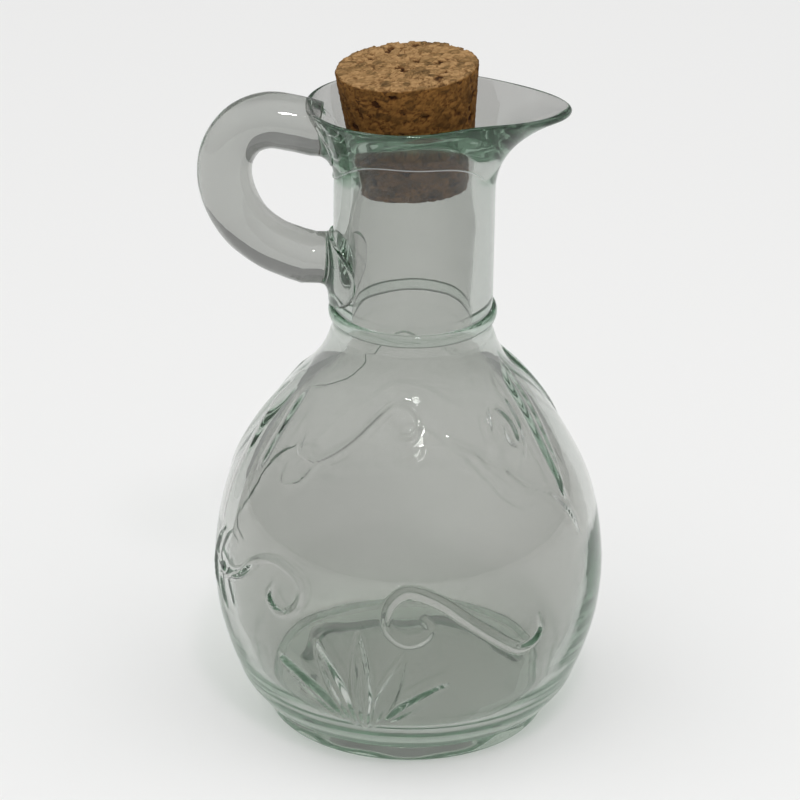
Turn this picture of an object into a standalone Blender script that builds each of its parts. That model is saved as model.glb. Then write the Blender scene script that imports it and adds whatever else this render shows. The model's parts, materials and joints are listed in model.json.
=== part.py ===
"""An oil cruet of pale green glass, with a loop handle, a pouring lip and a cork.

Metres, +Z up. The origin is the middle of the underside. The pouring lip points to +X
and the handle to -X. The bottle is one turned wall whose top is bent out to the lip.
"""
import math

import bmesh
import bpy
import numpy as np

# Cork, and how far above the throat's narrowest ring its bottom sits
cork_top_radius = 0.01835
cork_bottom_radius = 0.01472
cork_height = 0.0313
cork_edge = 0.0006
cork_seat_rise = 0.0011
cork_lean = math.radians(4.5)
cork_clearance = 0.0003

# Bottle heights: foot and bowl from the surface it stands on, neck from the bowl to the rim
foot_height = 0.0064
bowl_height = 0.1090
neck_height = 0.0614
# Depths below the rim: the throat that holds the cork, and where the lip starts to flare
throat_depth = 0.0219
flare_side_depth = 0.0109
flare_spout_depth = 0.0214
flare_back_depth = 0.0194

# Bottle radii and walls
belly_radius = 0.0520
foot_radius = 0.0380
floor_thickness = 0.0060
heel_wall = 0.0050
belly_wall = 0.0032
neck_wall = 0.0050
bore_relief = 0.0007
bore_relief_height = 0.0060

# Pouring lip, seen from above: how far it stands out past the cork at the sides, and past the neck
lip_cork_space = 0.0042
spout_flare = 0.0188
back_flare = 0.0074
# Thickness of the lip's edge
lip_side_edge = 0.0012
lip_spout_edge = 0.0022
lip_back_edge = 0.0014
shoulder_rise = 0.0009
spout_half_angle = math.radians(32.5)
back_start_angle = math.radians(70)
shoulder_angle = math.radians(50)
shoulder_spread = math.radians(25)

# Ring of glass laid round the foot of the neck
collar_rise = 0.0047
collar_stand = 0.0012
collar_height = 0.0038

# Handle, its pad on the neck, and the gap between pieces of glass
handle_radius = 0.0072
handle_reach = 0.0487
handle_rim_drop = 0.0051
handle_collar_rise = 0.0112
pad_height = 0.0194
pad_thickness = 0.0032
pad_half_angle = math.radians(47)
joint_gap = 0.0003
cut_overrun = 0.0120

# Outline of the bowl, foot to neck: share of its height, share of belly less neck radius
bowl_shares = (
    (0.0, 0.655), (0.060, 0.794), (0.140, 0.900), (0.250, 0.985), (0.386, 1.0),
    (0.555, 0.900), (0.699, 0.674), (0.822, 0.397), (0.924, 0.108), (1.0, 0.0),
)
# Rolled ring of the foot, top to bottom: share of its height, share of its radius
foot_shares = ((0.92, 0.996), (0.55, 1.0), (0.20, 0.994), (0.05, 0.983), (0.0, 0.971))
# Middle line of the handle: share of its reach past the neck, share of its height
handle_shares = (
    (-0.155, 0.831), (0.127, 0.919), (0.375, 0.982), (0.604, 1.0), (0.816, 0.938),
    (0.961, 0.790), (1.0, 0.616), (0.940, 0.434), (0.800, 0.260), (0.587, 0.130),
    (0.322, 0.049), (0.057, 0.0), (-0.190, -0.031),
)
# Swelling of the handle at its two ends, as shares of its radius
handle_swell_shares = (1.06, 1.02, 1.0, 1.0, 1.0, 1.0, 1.0, 1.0, 1.01, 1.02, 1.04, 1.10, 1.16)
# The lip's bend at the sides, the spout and the back: its height between the lip's start and edge,
# and how far its outside has come by then from the neck to the edge
knee_shares = (0.44, 0.68, 0.30)
crease_shares = (0.60, 0.04, 0.12)
# How closely the inside follows the bend, at the sides, the spout and the back
inner_weights = (4.0, 1.2, 2.4)
# Floor inside, from the middle to the heel: shares of the heel's inner radius
floor_radius_shares = (0.0, 0.45, 0.72, 0.88)
floor_rise_power = 4
spout_power = 1.7
start_power = 4

turn_steps = 60
bowl_steps = 2
lip_steps = 6
edge_steps = 4
collar_steps = 8
handle_curve_steps = 3
handle_side_resolution = 5
pad_segments = 24
pad_rings = 12
merge_distance = 0.00001
sharp_angle = math.radians(40)

# Sizes that follow from those above
rim_height = bowl_height + neck_height
throat_height = rim_height - throat_depth
cork_taper = (cork_top_radius - cork_bottom_radius) / cork_height
cork_seat_radius = cork_bottom_radius - cork_taper * cork_seat_rise
cork_lean_slope = math.tan(cork_lean)
cork_seat_reach = cork_seat_radius / (math.cos(cork_lean) - cork_taper * math.sin(cork_lean))
throat_radius = cork_seat_reach + cork_clearance
bore_radius = throat_radius + bore_relief
neck_radius = bore_radius + neck_wall
cork_rim_radius = cork_bottom_radius + cork_taper * (throat_depth - cork_seat_rise)
lip_side_radius = cork_rim_radius + lip_cork_space + lip_side_edge
lip_edges = (lip_side_edge, lip_spout_edge, lip_back_edge)
straight_wall = neck_radius - throat_radius
collar_middle = bowl_height + collar_rise
collar_top = collar_middle + collar_height / 2
collar_bottom = collar_middle - collar_height / 2
handle_top = rim_height - handle_rim_drop
handle_low = collar_top + handle_collar_rise
pad_top = collar_top + pad_height


def smooth_through(points, steps):
    """Points on a Catmull-Rom curve through the given ones, steps to each span."""
    points = np.array(points, dtype=float)
    ends = (2 * points[0] - points[1], 2 * points[-1] - points[-2])
    padded = np.vstack((ends[0], points, ends[1]))
    share = np.arange(steps)[:, None] / steps
    spans = []
    for before, start, end, after in zip(padded, padded[1:], padded[2:], padded[3:]):
        bend = 2 * before - 5 * start + 4 * end - after
        twist = 3 * (start - end) + after - before
        spans.append(start + ((end - before) * share + bend * share**2 + twist * share**3) / 2)
    return np.vstack(spans + [points[-1:]])


def bowl_outline():
    """Outside of the bowl, foot to neck, as rows of radius and height."""
    points = []
    for height_share, radius_share in bowl_shares:
        radius = neck_radius + radius_share * (belly_radius - neck_radius)
        points.append((radius, foot_height + height_share * (bowl_height - foot_height)))
    return smooth_through(points, bowl_steps)


def bowl_lining():
    """Inside of the bowl, foot to neck: the outside moved in by the wall at each height."""
    outline = bowl_outline()
    along = np.gradient(outline, axis=0)
    inward = np.stack((-along[:, 1], along[:, 0]), axis=1)
    inward /= np.linalg.norm(inward, axis=1, keepdims=True)
    middle = (foot_height + bowl_height) / 2
    wall = np.interp(outline[:, 1], (foot_height, middle, bowl_height), (heel_wall, belly_wall, neck_wall))
    lining = outline + inward * wall[:, None]
    lining[-1] = (bore_radius, bowl_height)
    return lining


def floor_outline(heel):
    """Inside of the floor, middle to heel, flat and then rising to the heel's height."""
    rows = []
    for share in floor_radius_shares:
        rise = (heel[1] - floor_thickness) * share**floor_rise_power
        rows.append((heel[0] * share, floor_thickness + rise))
    return rows


def lip_turn(angle):
    """How far a place round the lip belongs to its spout and to its back, from 0 to 1."""
    turn = abs(angle)
    spout = math.exp(-(turn / spout_half_angle) ** spout_power)
    swell = min(max((turn - back_start_angle) / (math.pi - back_start_angle), 0), 1)
    return spout, swell * swell * (3 - 2 * swell)


def around_lip(values, spout, back):
    """Blend of a size's values at the sides, the spout and the back."""
    side, at_spout, at_back = values
    return side + spout * (at_spout - side) + back * (at_back - side)


def lip_curves(angle):
    """Controls of the lip's outer and inner face at one angle, the inner one's weight, the edge."""
    spout, back = lip_turn(angle)
    reach = around_lip((lip_side_radius, neck_radius + spout_flare, neck_radius + back_flare), spout, back)
    edge = around_lip(lip_edges, spout, back)
    rise = shoulder_rise * math.exp(-((abs(angle) - shoulder_angle) / shoulder_spread) ** 2)
    side = math.cos(angle) ** start_power
    deepest = flare_spout_depth if math.cos(angle) > 0 else flare_back_depth
    start = rim_height - flare_side_depth - (deepest - flare_side_depth) * side
    middle = np.array((reach - edge / 2, rim_height + rise - edge / 2))
    knee = start + around_lip(knee_shares, spout, back) * (middle[1] - start)
    bent = neck_radius + around_lip(crease_shares, spout, back) * (middle[0] - neck_radius)
    along = middle - (bent, knee)
    along /= np.linalg.norm(along)
    inward = np.array((-along[1], along[0]))
    outer = np.array(((neck_radius, start), (bent, knee), middle - inward * edge / 2))
    lean = cork_lean_slope * ((1 - math.cos(angle)) / 2) ** 2
    lead = (throat_radius + (cork_taper + lean) * (knee - throat_height), knee)
    inner = np.array(((throat_radius, throat_height), lead, middle + inward * edge / 2))
    return outer, inner, around_lip(inner_weights, spout, back), edge, along, inward


def on_curve(controls, weight, share):
    """Point of a conic: a quadratic Bezier curve drawn to its middle control by a weight."""
    pull = 2 * weight * share * (1 - share)
    place = controls[0] * (1 - share) ** 2 + controls[1] * pull + controls[2] * share**2
    return place / ((1 - share) ** 2 + pull + share**2)


def bend_lip(mesh, straight_bottom, straight_top, gap):
    """Bend the straight top of a turned wall out to the pouring lip.

    A point keeps its angle round the neck. On either face its share of the straight height
    becomes its share of that face's curve. What lies past the straight height becomes the edge.
    """
    wall_middle = neck_radius + gap - straight_wall / 2
    for vertex in mesh.vertices:
        height = vertex.co.z
        if height < straight_bottom - merge_distance:
            continue
        radius = math.hypot(vertex.co.x, vertex.co.y)
        if radius < merge_distance:
            continue
        angle = math.atan2(vertex.co.y, vertex.co.x)
        outer, inner, weight, edge, along, inward = lip_curves(angle)
        share = min((height - straight_bottom) / (straight_top - straight_bottom), 1)
        over = max(height - straight_top, 0)
        if over > 0:
            middle = (outer[2] + inner[2]) / 2
            place = middle + (inward * (wall_middle - radius) + along * over) * edge / straight_wall
        elif radius > wall_middle:
            tangent = (outer[1] - outer[0]) * (1 - share) + (outer[2] - outer[1]) * share
            tangent /= np.linalg.norm(tangent)
            place = on_curve(outer, 1, share) + gap * np.array((tangent[1], -tangent[0]))
        else:
            place = on_curve(inner, weight, share)
        vertex.co.x = place[0] * math.cos(angle)
        vertex.co.y = place[0] * math.sin(angle)
        vertex.co.z = place[1]


def material(name, colour, roughness, transmission):
    """Principled material with one colour, roughness and transmission."""
    made = bpy.data.materials.new(name)
    made.use_nodes = True
    shader = made.node_tree.nodes["Principled BSDF"]
    shader.inputs["Base Color"].default_value = (*colour, 1)
    shader.inputs["Roughness"].default_value = roughness
    shader.inputs["Metallic"].default_value = 0
    shader.inputs["Transmission Weight"].default_value = transmission
    return made


def turned(name, outline, steps, collection):
    """Object made by turning an outline of radius and height about Z."""
    mesh = bpy.data.meshes.new(name)
    points = [(radius, 0, height) for radius, height in outline]
    edges = [(index, index + 1) for index in range(len(points) - 1)]
    mesh.from_pydata(points, edges, [])
    made = bpy.data.objects.new(name, mesh)
    collection.objects.link(made)
    screw = made.modifiers.new("turn", "SCREW")
    screw.axis = "Z"
    screw.steps = steps
    screw.render_steps = steps
    screw.use_merge_vertices = True
    screw.merge_threshold = merge_distance
    screw.use_smooth_shade = True
    return made


def made_mesh(source):
    """Replace an object by one whose mesh is the source as it stands, with its doubles welded."""
    bpy.context.view_layer.update()
    evaluated = source.evaluated_get(bpy.context.evaluated_depsgraph_get())
    mesh = bpy.data.meshes.new_from_object(evaluated)
    welded = bmesh.new()
    welded.from_mesh(mesh)
    bmesh.ops.remove_doubles(welded, verts=welded.verts, dist=merge_distance)
    welded.to_mesh(mesh)
    welded.free()
    name = source.name
    collection = source.users_collection[0]
    place = source.matrix_world.copy()
    bpy.data.objects.remove(source)
    made = bpy.data.objects.new(name, mesh)
    made.matrix_world = place
    collection.objects.link(made)
    return made


def smooth(made):
    """Smooth shading, with the sharp edges kept."""
    made.data.shade_smooth()
    made.data.set_sharp_from_angle(angle=sharp_angle)


def bottle(parts):
    """Bowl, neck and lip as one wall of glass."""
    lining = bowl_lining()
    straight_bottom = throat_height + merge_distance * 2
    straight_top = rim_height - straight_wall / 2
    outline = floor_outline(lining[0])
    outline += [tuple(point) for point in lining]
    outline.append((bore_radius, throat_height - bore_relief_height))
    outline.append((throat_radius, throat_height))
    lip_heights = np.linspace(straight_bottom, straight_top, lip_steps + 1)
    outline += [(throat_radius, height) for height in lip_heights[1:]]
    for step in range(1, edge_steps):
        turn = math.pi * step / edge_steps
        edge = straight_wall / 2
        outline.append((throat_radius + edge - edge * math.cos(turn), straight_top + edge * math.sin(turn)))
    outline += [(neck_radius, height) for height in lip_heights[::-1]]
    outline.append((neck_radius, collar_top))
    outline += [tuple(point) for point in bowl_outline()[::-1]]
    outline += [(foot_radius * share, foot_height * height) for height, share in foot_shares]
    outline.append((0, 0))
    made = made_mesh(turned("glass_bottle", outline, turn_steps, parts))
    bend_lip(made.data, straight_bottom, straight_top, 0)
    smooth(made)
    return made


def neck_cutter(cutters):
    """Solid of the neck, lip and collar with the joint's gap all round, to trim the handle."""
    outside = neck_radius + joint_gap
    collar_outside = neck_radius + collar_stand + joint_gap
    straight_bottom = throat_height + merge_distance * 2
    straight_top = rim_height - straight_wall / 2
    lip_heights = np.linspace(straight_bottom, straight_top, lip_steps + 1)
    outline = [(0, rim_height + cut_overrun), (outside, straight_top + cut_overrun)]
    outline += [(outside, height) for height in lip_heights[::-1]]
    outline.append((outside, collar_top + joint_gap))
    outline.append((collar_outside, collar_top + joint_gap))
    outline.append((collar_outside, collar_bottom))
    outline.append((0, collar_bottom))
    made = made_mesh(turned("neck_cutter", outline, turn_steps, cutters))
    bend_lip(made.data, straight_bottom, straight_top, joint_gap)
    return made


def collar(parts):
    """Ring of glass round the foot of the neck, flat inside and rounded outside."""
    inside = neck_radius + joint_gap
    depth = collar_stand - joint_gap
    outline = [(inside, collar_bottom), (inside, collar_middle), (inside, collar_top)]
    for step in range(1, collar_steps):
        turn = math.pi * step / collar_steps
        radius = inside + depth * math.sin(turn)
        outline.append((radius, collar_middle + collar_height / 2 * math.cos(turn)))
    outline.append(outline[0])
    return turned("neck_collar", outline, turn_steps, parts)


def handle_rod(parts):
    """Loop of round rod from under the lip to the foot of the neck."""
    curve = bpy.data.curves.new("handle", "CURVE")
    curve.dimensions = "3D"
    curve.bevel_depth = handle_radius
    curve.bevel_resolution = handle_side_resolution
    curve.use_fill_caps = True
    curve.resolution_u = handle_curve_steps
    curve.render_resolution_u = handle_curve_steps
    spline = curve.splines.new("BEZIER")
    spline.bezier_points.add(len(handle_shares) - 1)
    for point, shares, swell in zip(spline.bezier_points, handle_shares, handle_swell_shares):
        out_share, height_share = shares
        out = neck_radius + out_share * (handle_reach - neck_radius)
        point.co = (-out, 0, handle_low + height_share * (handle_top - handle_low))
        point.handle_left_type = "AUTO"
        point.handle_right_type = "AUTO"
        point.radius = swell
    made = bpy.data.objects.new("handle", curve)
    parts.objects.link(made)
    return made_mesh(made)


def handle_pad(cutters):
    """Pad of the handle: a ball pressed flat and wrapped round the neck above the collar."""
    bottom = collar_top + joint_gap
    middle = (pad_top + bottom) / 2
    ball = bmesh.new()
    bmesh.ops.create_uvsphere(ball, u_segments=pad_segments, v_segments=pad_rings, radius=1)
    for vertex in ball.verts:
        radius = neck_radius + vertex.co.x * pad_thickness
        angle = math.pi + vertex.co.y * pad_half_angle
        height = middle + vertex.co.z * (pad_top - middle)
        vertex.co = (radius * math.cos(angle), radius * math.sin(angle), height)
    mesh = bpy.data.meshes.new("handle_pad")
    ball.to_mesh(mesh)
    ball.free()
    made = bpy.data.objects.new("handle_pad", mesh)
    cutters.objects.link(made)
    return made


def boolean(target, name, operation, other):
    """Exact Boolean modifier, with its helper hidden."""
    cut = target.modifiers.new(name, "BOOLEAN")
    cut.operation = operation
    cut.solver = "EXACT"
    cut.object = other
    other.hide_render = True
    other.display_type = "WIRE"


def cork(parts):
    """Tapered stopper, its axis leaning to the handle through the middle of the throat."""
    axis = bpy.data.objects.new("cork_axis", None)
    axis.location = (0, 0, throat_height)
    axis.rotation_euler = (0, -cork_lean, 0)
    parts.objects.link(axis)
    bottom = cork_seat_rise
    top = bottom + cork_height
    outline = [
        (0, top),
        (cork_top_radius - cork_edge, top),
        (cork_top_radius, top - cork_edge),
        (cork_bottom_radius, bottom + cork_edge),
        (cork_bottom_radius - cork_edge, bottom),
        (0, bottom),
    ]
    made = turned("cork_stopper", outline, turn_steps, parts)
    made.parent = axis
    return made


def main():
    for old in list(bpy.data.objects):
        bpy.data.objects.remove(old)
    parts = bpy.data.collections.new("oil_cruet")
    cutters = bpy.data.collections.new("cutters")
    bpy.context.scene.collection.children.link(parts)
    bpy.context.scene.collection.children.link(cutters)

    pieces = [bottle(parts), collar(parts), handle_rod(parts), cork(parts)]
    boolean(pieces[2], "pad", "UNION", handle_pad(cutters))
    boolean(pieces[2], "neck", "DIFFERENCE", neck_cutter(cutters))
    smooth(pieces[2])

    finishes = (
        material("bottle_glass", (0.66, 0.74, 0.69), 0.04, 1),
        material("collar_glass", (0.45, 0.60, 0.52), 0.04, 1),
        material("handle_glass", (0.68, 0.74, 0.70), 0.04, 1),
        material("pressed_cork", (0.38, 0.22, 0.12), 0.85, 0),
    )
    for piece, finish in zip(pieces, finishes):
        piece.data.materials.append(finish)


main()
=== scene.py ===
# Looks for the oil cruet: pale green glass with moulded relief, and a pressed cork.
# Every length is in metres, in the frame's own axes.
import json
import math

import bpy
import numpy as np
from mathutils import Matrix, Vector


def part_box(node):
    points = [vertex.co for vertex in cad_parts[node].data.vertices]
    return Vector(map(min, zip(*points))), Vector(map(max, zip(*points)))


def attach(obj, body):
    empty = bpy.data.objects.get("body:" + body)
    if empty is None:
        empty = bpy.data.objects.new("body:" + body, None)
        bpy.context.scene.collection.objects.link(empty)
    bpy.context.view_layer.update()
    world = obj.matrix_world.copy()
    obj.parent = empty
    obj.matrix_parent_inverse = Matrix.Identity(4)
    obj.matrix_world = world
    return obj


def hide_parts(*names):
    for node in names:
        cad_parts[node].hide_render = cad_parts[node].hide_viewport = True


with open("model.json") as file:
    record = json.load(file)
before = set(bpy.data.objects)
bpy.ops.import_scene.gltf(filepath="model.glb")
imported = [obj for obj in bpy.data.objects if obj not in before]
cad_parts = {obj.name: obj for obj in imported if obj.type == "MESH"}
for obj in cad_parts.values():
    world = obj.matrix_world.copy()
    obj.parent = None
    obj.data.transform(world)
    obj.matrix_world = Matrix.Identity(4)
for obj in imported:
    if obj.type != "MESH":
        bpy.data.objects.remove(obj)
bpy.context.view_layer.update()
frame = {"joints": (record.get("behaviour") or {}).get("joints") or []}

# Camera at the photograph's angle, leaning by a small roll
cameraView = {
    "place": (0.0, -0.900, 0.511),
    "target": (-0.0029, 0.0, 0.0874),
    "lens": 170.5,
    "sensor": 36.0,
    "roll": 0.0156,
    "clipStart": 0.01,
}


def addCamera(settings):
    place = Vector(settings["place"])
    back = (place - Vector(settings["target"])).normalized()
    right = Vector((0, 0, 1)).cross(back).normalized()
    up = back.cross(right)
    turned = Matrix((right, up, back)).transposed().to_4x4()
    data = bpy.data.cameras.new("camera")
    data.lens = settings["lens"]
    data.sensor_width = settings["sensor"]
    data.clip_start = settings["clipStart"]
    camera = bpy.data.objects.new("camera", data)
    camera.matrix_world = Matrix.Translation(place) @ turned @ Matrix.Rotation(settings["roll"], 4, "Z")
    bpy.context.scene.collection.objects.link(camera)
    bpy.context.scene.camera = camera


addCamera(cameraView)
print("camera placed")


# Faces between two neighbouring rings: quads for like counts, and fans where one ring is a single
# point or has a whole multiple of the other's points.
def seamFaces(upper, lower):
    if len(upper) == len(lower):
        return np.stack((upper, np.roll(upper, -1), np.roll(lower, -1), lower), axis=-1)
    flip = len(upper) < len(lower)
    many, few = (lower, upper) if flip else (upper, lower)
    ratio = len(many) // len(few)
    after = np.roll(many, -1).reshape(len(few), ratio)
    many = many.reshape(len(few), ratio)
    if len(few) == 1:
        fans = [np.stack((many[0], after[0], np.full(ratio, few[0])), axis=-1)]
    else:
        turn = ratio // 2
        nextFew = np.roll(few, -1)
        owners = [few if step < turn else nextFew for step in range(ratio)]
        fans = [np.stack((many[:, step], after[:, step], owners[step]), axis=-1) for step in range(ratio)]
        fans.append(np.stack((many[:, turn], nextFew, few), axis=-1))
    faces = np.concatenate(fans)
    return faces[:, ::-1] if flip else faces


# A closed skin over blocks of rings, each block an array of rows, columns and places.
# The blocks start and end at single points, or the last ring joins the first.
def skinBlocks(name, blocks, loop=False):
    quads, triangles, used, rings = [], [], 0, []
    for block in blocks:
        rows, columns = block.shape[:2]
        ids = used + np.arange(rows * columns).reshape(rows, columns)
        used += rows * columns
        after = np.roll(ids, -1, axis=1)
        if rows > 1:
            quads.append(np.stack((ids[:-1], after[:-1], after[1:], ids[1:]), axis=-1).reshape(-1, 4))
        rings.append((ids[0], ids[-1]))
    pairs = [(one[1], two[0]) for one, two in zip(rings, rings[1:])]
    if loop:
        pairs.append((rings[-1][1], rings[0][0]))
    for upper, lower in pairs:
        faces = seamFaces(upper, lower)
        (quads if faces.shape[1] == 4 else triangles).append(faces)
    places = np.concatenate([block.reshape(-1, 3) for block in blocks])
    quads = np.concatenate(quads)
    triangles = np.concatenate(triangles) if triangles else np.zeros((0, 3), dtype=int)
    halves = np.concatenate((quads[:, :3], quads[:, [0, 2, 3]], triangles))
    corners = places[halves]
    volume = np.einsum("ij,ij->i", corners[:, 0], np.cross(corners[:, 1], corners[:, 2])).sum()
    if volume < 0:
        quads, triangles = quads[:, ::-1], triangles[:, ::-1]
    sizes = np.concatenate((np.full(len(quads), 4), np.full(len(triangles), 3)))
    starts = np.concatenate(([0], np.cumsum(sizes)[:-1]))
    mesh = bpy.data.meshes.new(name)
    mesh.vertices.add(len(places))
    mesh.vertices.foreach_set("co", places.astype(np.float32).ravel())
    mesh.loops.add(sizes.sum())
    vertexIds = np.concatenate((quads.ravel(), triangles.ravel()))
    mesh.loops.foreach_set("vertex_index", vertexIds.astype(np.int32))
    mesh.polygons.add(len(sizes))
    mesh.polygons.foreach_set("loop_start", starts.astype(np.int32))
    mesh.update(calc_edges=True)
    mesh.validate()
    mesh.shade_smooth()
    made = bpy.data.objects.new(name, mesh)
    bpy.context.scene.collection.objects.link(made)
    print(name, "has", len(halves), "triangles")
    return made


# Values for every point of a skin, block by block, under a name that its material reads.
def markPoints(made, name, blocks):
    layer = made.data.attributes.new(name, "FLOAT", "POINT")
    values = np.concatenate([np.ravel(block) for block in blocks])
    layer.data.foreach_set("value", values.astype(np.float32))


# Smooth curve through rows of points, read at evenly spaced parameters.
def curveThrough(points, count):
    points = np.array(points, dtype=float)
    padded = np.vstack((2 * points[0] - points[1], points, 2 * points[-1] - points[-2]))
    place = np.linspace(0, len(points) - 1, count)
    span = np.minimum(place.astype(int), len(points) - 2)
    share = (place - span)[:, None]
    before, start, end, after = (padded[span + step] for step in range(4))
    bend = 2 * before - 5 * start + 4 * end - after
    twist = 3 * (start - end) + after - before
    return start + ((end - before) * share + bend * share**2 + twist * share**3) / 2


# Rows along a curve, spaced evenly by its length.
def evenly(curve, count):
    steps = np.linalg.norm(np.diff(curve, axis=0), axis=1)
    length = np.concatenate(([0], np.cumsum(steps)))
    wanted = np.linspace(0, length[-1], count)
    return np.stack([np.interp(wanted, length, curve[:, axis]) for axis in range(curve.shape[1])], axis=1)


# Unit normal of a curve of radius and height, on its right-hand side.
def normalsOf(curve):
    along = np.gradient(curve, axis=0)
    normals = np.stack((along[:, 1], -along[:, 0]), axis=1)
    return normals / np.linalg.norm(normals, axis=1, keepdims=True)


# Rise from 0 to 1 with flat ends.
def smoothStep(share):
    share = np.clip(share, 0, 1)
    return share * share * (3 - 2 * share)


# Soft waviness of work by hand: a sum of sines, each with its size, its waves round or along the
# piece, its radians for a metre of height, and its start.
def handWaves(angle, height, terms):
    total = 0.0
    for size, around, upward, phase in terms:
        total = total + size * np.sin(around * angle + upward * height + phase)
    return total


# Bottle. The lip's sizes have a value at the sides, the spout and the back. Waves have the terms
# that handWaves takes, and shares are of the sizes that they go with.
collarLow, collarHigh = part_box("neck_collar")
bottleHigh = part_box("glass_bottle")[1]
corkAxis = Vector(frame["joints"][0]["axis"])
bellyRadius = bottleHigh.y
bottleShape = {
    "neckRadius": 0.02077,
    "boreRadius": 0.01577,
    "throatRadius": 0.01507,
    "bowlHeight": 0.1090,
    "footHeight": 0.0064,
    "footRadius": 0.0380,
    "rimHeight": 0.1704,
    "throatHeight": 0.1485,
    "floorThickness": 0.0060,
    "heelWall": 0.0050,
    "bellyWall": 0.0032,
    "neckWall": 0.0050,
    # Lip: its edge, how far down it flares, where its faces bend, and how far it reaches
    "lipEdge": {"side": 0.0012, "spout": 0.0022, "back": 0.0014},
    "flareDepths": {"side": 0.0097, "spout": 0.0214, "back": 0.0194},
    "kneeShares": {"side": 0.28, "spout": 0.68, "back": 0.30},
    "creaseShares": {"side": 0.28, "spout": 0.04, "back": 0.12},
    "innerWeights": {"side": 4.5, "spout": 1.2, "back": 2.4},
    "reaches": {"side": 0.02253, "spout": 0.03957, "back": 0.02817},
    # How wide and how sharp the spout is, where the back begins, how the flare dips towards both,
    # and the rise of the rim beside the spout
    "spoutTurn": math.radians(32.5),
    "spoutPower": 1.7,
    "backTurn": math.radians(70),
    "startPower": 4,
    "shoulder": {"rise": 0.0009, "turn": math.radians(50), "spread": math.radians(25)},
    # Taper that the inner face follows round the cork, and the share of the edge over which the
    # outside turns into the rim
    "corkTaper": 0.1161,
    "rimFade": 0.6,
    # Neck: the mould line, on a row of the neck's shares, fading out at the spout
    "seam": {"rise": 0.0003, "row": 1, "ends": 0.9, "fade": 0.1},
    "neckShares": (0.003, 0.008, 0.013, 0.02, 0.2, 0.4, 0.6, 0.8),
    "boreMargins": (0.012, 0.006),
    # Bowl and foot, as shares of height and radius; the relief stands on a bowl in by the sink
    "bowlShares": (
        (0.0, 0.655), (0.060, 0.794), (0.140, 0.900), (0.250, 0.985), (0.386, 1.0),
        (0.555, 0.900), (0.699, 0.674), (0.822, 0.397), (0.924, 0.108), (1.0, 0.0),
    ),
    "footShares": ((0.92, 0.996), (0.55, 1.0), (0.20, 0.994), (0.05, 0.983), (0.0, 0.971)),
    "sink": 0.0006,
    "reliefFade": {"low": 0.010, "lowOver": 0.006, "high": 0.104, "highOver": 0.008},
    # Inside: how the floor rises to the wall, and the waves of the lining
    "floorCurve": 4,
    "waves": (
        (0.00012, 2, 40, 0.3), (0.00009, 3, -70, 1.9), (0.00006, 5, 110, 0.8), (0.00004, 7, -60, 2.6),
    ),
    "waveFade": {"low": 0.010, "high": 0.150, "over": 0.02},
    # Hollow under the foot, its rings as shares of the ring's width and of the depth
    "punt": {"radius": 0.0285, "depth": 0.0016, "ring": 0.0040, "centre": (0.018, 0.009)},
    "puntShares": ((1.0, 0.0), (0.5, 0.25), (0.0, 0.85), (-0.5, 1.0)),
    "puntWaves": ((0.05, 3, 0, 0.6), (0.04, 5, 0, 2.1), (0.03, 11, 0, 0)),
    # Painted shade: the glass's stain darkens at the lip, and by how it faces the eye above the bowl
    "lipShadeRise": {"from": 0.152, "over": 0.012},
    "edgeShadeRise": {"from": 0.106, "over": 0.010, "share": 1.3},
    # Counts of rows and columns; the columns lie closer at the front
    "outerColumns": 450,
    "innerColumns": 150,
    "closer": 0.35,
    "rimRows": 7,
    "lipRows": 12,
    "innerLipRows": 16,
    "outlineSteps": 400,
    "bowlRows": 156,
    "footRows": 8,
    "floorRows": 12,
    "liningRows": 40,
}


# Value at each angle of a size that has one value at the sides, one at the spout and one at the back.
def roundLip(sizes, spout, back):
    side = sizes["side"]
    return side + spout * (sizes["spout"] - side) + back * (sizes["back"] - side)


# The lip at each angle: control points of its outer and inner faces, as rows of radius and height,
# the inner face's weight, and the thickness, middle and two directions of its edge. The reach has
# a point at the spout and a swell at the back. The inner face leads out past the leaning cork.
def lipControls(angle, shape):
    turn = np.abs(angle)
    spout = np.exp(-((turn / shape["spoutTurn"]) ** shape["spoutPower"]))
    back = smoothStep((turn - shape["backTurn"]) / (math.pi - shape["backTurn"]))
    shoulder = shape["shoulder"]
    rise = shoulder["rise"] * np.exp(-(((turn - shoulder["turn"]) / shoulder["spread"]) ** 2))
    edge = roundLip(shape["lipEdge"], spout, back)
    depths = shape["flareDepths"]
    deepest = np.where(np.cos(angle) > 0, depths["spout"], depths["back"])
    deeper = (deepest - depths["side"]) * np.cos(angle) ** shape["startPower"]
    start = shape["rimHeight"] - depths["side"] - deeper
    reach = roundLip(shape["reaches"], spout, back)
    middle = np.stack((reach, shape["rimHeight"] + rise)) - edge / 2
    knee = start + roundLip(shape["kneeShares"], spout, back) * (middle[1] - start)
    neck = np.full_like(angle, shape["neckRadius"])
    bent = neck + roundLip(shape["creaseShares"], spout, back) * (middle[0] - neck)
    along = middle - np.stack((bent, knee))
    along = along / np.linalg.norm(along, axis=0)
    inward = np.stack((-along[1], along[0]))
    throat = np.full_like(angle, shape["throatRadius"])
    lean = math.hypot(corkAxis.x, corkAxis.y) / corkAxis.z * ((1 - np.cos(angle)) / 2) ** 2
    lead = throat + (shape["corkTaper"] + lean) * (knee - shape["throatHeight"])
    outer = np.stack(((neck, start), (bent, knee), middle - inward * edge / 2))
    inner = np.stack(((throat, np.full_like(angle, shape["throatHeight"])), (lead, knee),
                      middle + inward * edge / 2))
    weight = roundLip(shape["innerWeights"], spout, back)
    return {
        "outer": outer, "inner": inner, "weight": weight, "edge": edge, "middle": middle,
        "along": along, "inward": inward,
    }


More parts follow.
